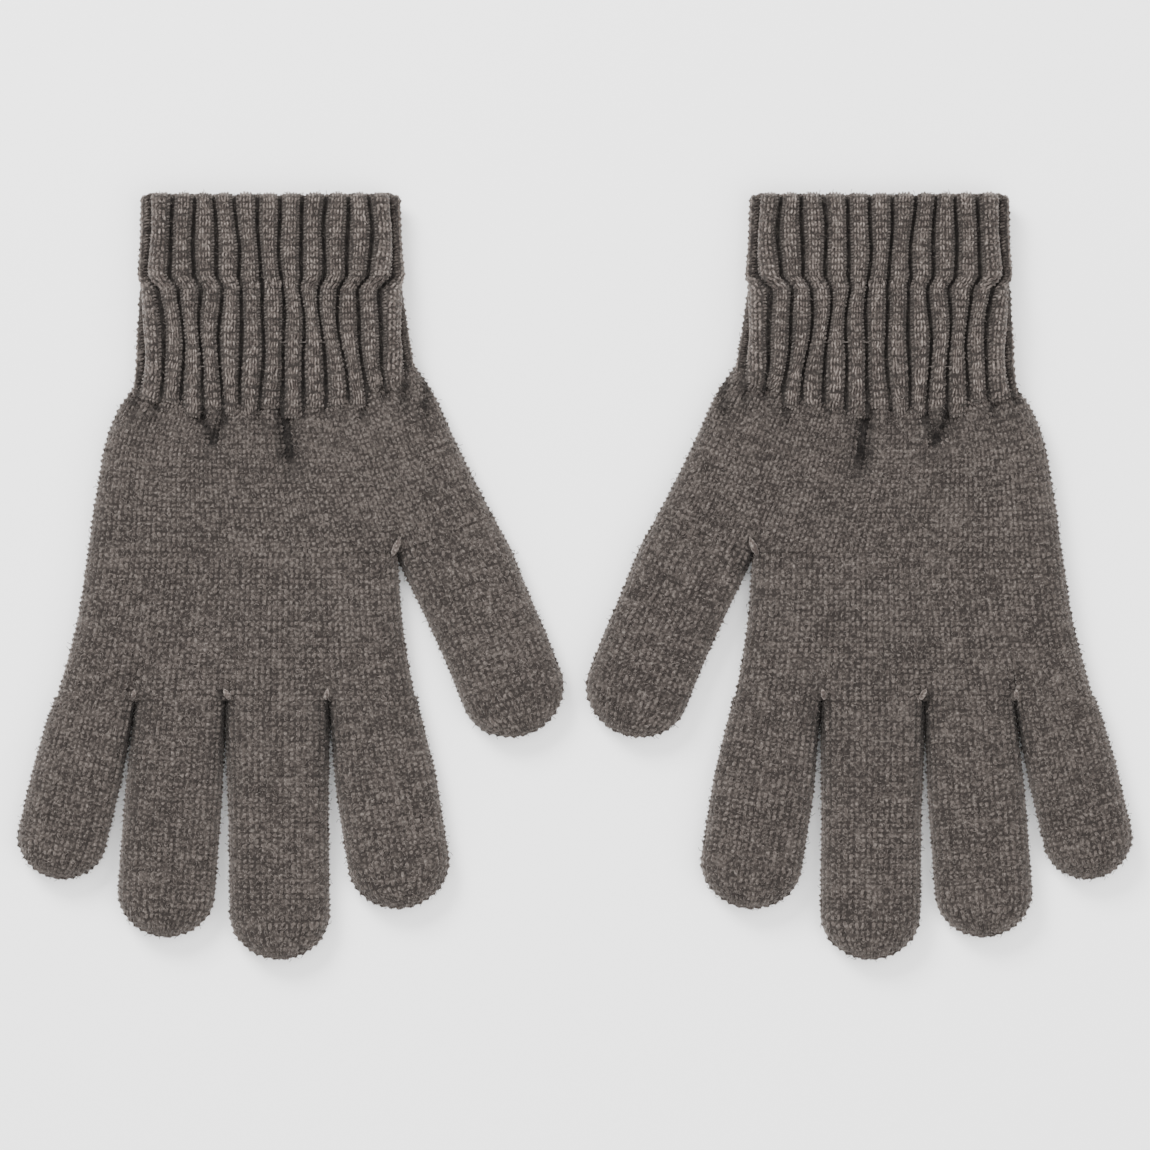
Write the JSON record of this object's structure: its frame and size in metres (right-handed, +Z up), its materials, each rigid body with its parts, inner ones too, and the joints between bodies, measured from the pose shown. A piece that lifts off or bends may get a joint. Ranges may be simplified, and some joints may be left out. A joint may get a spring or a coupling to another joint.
{
  "type": "knitted gloves",
  "caption": "A pair of ribbed-cuff knitted gloves lying flat, palms up, with hollow fingers and thumbs that bend at two places each and cuffs that fold over the palm.",
  "frame": {"origin": "under the middle of the pair, on the surface that it lies on", "axes": "+X from the left-hand glove to the right-hand one, +Y towards the cuffs, +Z up out of the palms"},
  "size_m": [0.2666, 0.1834, 0.013],
  "materials": {
    "grey_brown_knit": "matt grey-brown marled wool-mix yarn, machine knitted",
    "knit_facing": "the same yarn, seen in the shade inside the cuff",
    "elastic_thread": "fine covered elastic thread",
    "sewing_yarn": "twisted end of the knitting yarn"
  },
  "bodies": {
    "left_hand": {"left_hand_shell": "grey_brown_knit", "left_fork_stitch_index_middle": "sewing_yarn", "left_fork_stitch_middle_ring": "sewing_yarn", "left_fork_stitch_ring_little": "sewing_yarn", "left_fork_stitch_thumb": "sewing_yarn"},
    "left_cuff": {"left_cuff_rib": "grey_brown_knit", "left_cuff_facing": "knit_facing", "left_cuff_tacking_thread": "sewing_yarn", "left_elastic_thread_1": "elastic_thread", "left_elastic_thread_2": "elastic_thread"},
    "left_index_root": {"left_index_root": "grey_brown_knit"},
    "left_index_tip": {"left_index_tip": "grey_brown_knit"},
    "left_middle_root": {"left_middle_root": "grey_brown_knit"},
    "left_middle_tip": {"left_middle_tip": "grey_brown_knit"},
    "left_ring_root": {"left_ring_root": "grey_brown_knit"},
    "left_ring_tip": {"left_ring_tip": "grey_brown_knit"},
    "left_little_root": {"left_little_root": "grey_brown_knit"},
    "left_little_tip": {"left_little_tip": "grey_brown_knit"},
    "left_thumb_root": {"left_thumb_root": "grey_brown_knit"},
    "left_thumb_tip": {"left_thumb_tip": "grey_brown_knit"},
    "right_hand": {"right_hand_shell": "grey_brown_knit", "right_fork_stitch_index_middle": "sewing_yarn", "right_fork_stitch_middle_ring": "sewing_yarn", "right_fork_stitch_ring_little": "sewing_yarn", "right_fork_stitch_thumb": "sewing_yarn"},
    "right_cuff": {"right_cuff_rib": "grey_brown_knit", "right_cuff_facing": "knit_facing", "right_cuff_tacking_thread": "sewing_yarn", "right_elastic_thread_1": "elastic_thread", "right_elastic_thread_2": "elastic_thread"},
    "right_index_root": {"right_index_root": "grey_brown_knit"},
    "right_index_tip": {"right_index_tip": "grey_brown_knit"},
    "right_middle_root": {"right_middle_root": "grey_brown_knit"},
    "right_middle_tip": {"right_middle_tip": "grey_brown_knit"},
    "right_ring_root": {"right_ring_root": "grey_brown_knit"},
    "right_ring_tip": {"right_ring_tip": "grey_brown_knit"},
    "right_little_root": {"right_little_root": "grey_brown_knit"},
    "right_little_tip": {"right_little_tip": "grey_brown_knit"},
    "right_thumb_root": {"right_thumb_root": "grey_brown_knit"},
    "right_thumb_tip": {"right_thumb_tip": "grey_brown_knit"}
  },
  "joints": [
    {"name": "left_cuff_fold", "type": "hinge", "parent": "left_hand", "child": "left_cuff", "pos_m": [-0.0728, 0.0449, 0.013], "axis": [1, 0, 0], "range_deg": [0, 90]},
    {"name": "left_index_knuckle_bend", "type": "hinge", "parent": "left_hand", "child": "left_index_root", "pos_m": [-0.047, -0.0385, 0.01], "axis": [-1, 0, 0], "range_deg": [0, 90]},
    {"name": "left_index_mid_bend", "type": "hinge", "parent": "left_index_root", "child": "left_index_tip", "pos_m": [-0.04439, -0.055, 0.01], "axis": [-1, 0, 0], "range_deg": [0, 90]},
    {"name": "left_middle_knuckle_bend", "type": "hinge", "parent": "left_hand", "child": "left_middle_root", "pos_m": [-0.07115, -0.0385, 0.01], "axis": [-1, 0, 0], "range_deg": [0, 90]},
    {"name": "left_middle_mid_bend", "type": "hinge", "parent": "left_middle_root", "child": "left_middle_tip", "pos_m": [-0.07088, -0.06, 0.01], "axis": [-1, 0, 0], "range_deg": [0, 90]},
    {"name": "left_ring_knuckle_bend", "type": "hinge", "parent": "left_hand", "child": "left_ring_root", "pos_m": [-0.09494, -0.0385, 0.01], "axis": [-1, 0, 0], "range_deg": [0, 90]},
    {"name": "left_ring_mid_bend", "type": "hinge", "parent": "left_ring_root", "child": "left_ring_tip", "pos_m": [-0.09633, -0.057, 0.01], "axis": [-1, 0, 0], "range_deg": [0, 90]},
    {"name": "left_little_knuckle_bend", "type": "hinge", "parent": "left_hand", "child": "left_little_root", "pos_m": [-0.11684, -0.0385, 0.01], "axis": [-1, 0, 0], "range_deg": [0, 90]},
    {"name": "left_little_mid_bend", "type": "hinge", "parent": "left_little_root", "child": "left_little_tip", "pos_m": [-0.11984, -0.051, 0.01], "axis": [-1, 0, 0], "range_deg": [0, 90]},
    {"name": "left_thumb_base_bend", "type": "hinge", "parent": "left_hand", "child": "left_thumb_root", "pos_m": [-0.02667, 0.00232, 0.01], "axis": [-0.9304, -0.3665, 0], "range_deg": [0, 70]},
    {"name": "left_thumb_mid_bend", "type": "hinge", "parent": "left_thumb_root", "child": "left_thumb_tip", "pos_m": [-0.02062, -0.01303, 0.01], "axis": [-0.9304, -0.3665, 0], "range_deg": [0, 80]},
    {"name": "right_cuff_fold", "type": "hinge", "parent": "right_hand", "child": "right_cuff", "pos_m": [0.0728, 0.0449, 0.013], "axis": [1, 0, 0], "range_deg": [0, 90]},
    {"name": "right_index_knuckle_bend", "type": "hinge", "parent": "right_hand", "child": "right_index_root", "pos_m": [0.047, -0.0385, 0.01], "axis": [-1, 0, 0], "range_deg": [0, 90]},
    {"name": "right_index_mid_bend", "type": "hinge", "parent": "right_index_root", "child": "right_index_tip", "pos_m": [0.04439, -0.055, 0.01], "axis": [-1, 0, 0], "range_deg": [0, 90]},
    {"name": "right_middle_knuckle_bend", "type": "hinge", "parent": "right_hand", "child": "right_middle_root", "pos_m": [0.07115, -0.0385, 0.01], "axis": [-1, 0, 0], "range_deg": [0, 90]},
    {"name": "right_middle_mid_bend", "type": "hinge", "parent": "right_middle_root", "child": "right_middle_tip", "pos_m": [0.07088, -0.06, 0.01], "axis": [-1, 0, 0], "range_deg": [0, 90]},
    {"name": "right_ring_knuckle_bend", "type": "hinge", "parent": "right_hand", "child": "right_ring_root", "pos_m": [0.09494, -0.0385, 0.01], "axis": [-1, 0, 0], "range_deg": [0, 90]},
    {"name": "right_ring_mid_bend", "type": "hinge", "parent": "right_ring_root", "child": "right_ring_tip", "pos_m": [0.09633, -0.057, 0.01], "axis": [-1, 0, 0], "range_deg": [0, 90]},
    {"name": "right_little_knuckle_bend", "type": "hinge", "parent": "right_hand", "child": "right_little_root", "pos_m": [0.11684, -0.0385, 0.01], "axis": [-1, 0, 0], "range_deg": [0, 90]},
    {"name": "right_little_mid_bend", "type": "hinge", "parent": "right_little_root", "child": "right_little_tip", "pos_m": [0.11984, -0.051, 0.01], "axis": [-1, 0, 0], "range_deg": [0, 90]},
    {"name": "right_thumb_base_bend", "type": "hinge", "parent": "right_hand", "child": "right_thumb_root", "pos_m": [0.02667, 0.00232, 0.01], "axis": [-0.9304, 0.3665, 0], "range_deg": [0, 70]},
    {"name": "right_thumb_mid_bend", "type": "hinge", "parent": "right_thumb_root", "child": "right_thumb_tip", "pos_m": [0.02062, -0.01303, 0.01], "axis": [-0.9304, 0.3665, 0], "range_deg": [0, 80]},
    {"name": "right_glove_lift", "type": "slide", "parent": "left_hand", "child": "right_hand", "axis": [0, 0, 1], "range_m": [0, 0.1]}
  ]
}
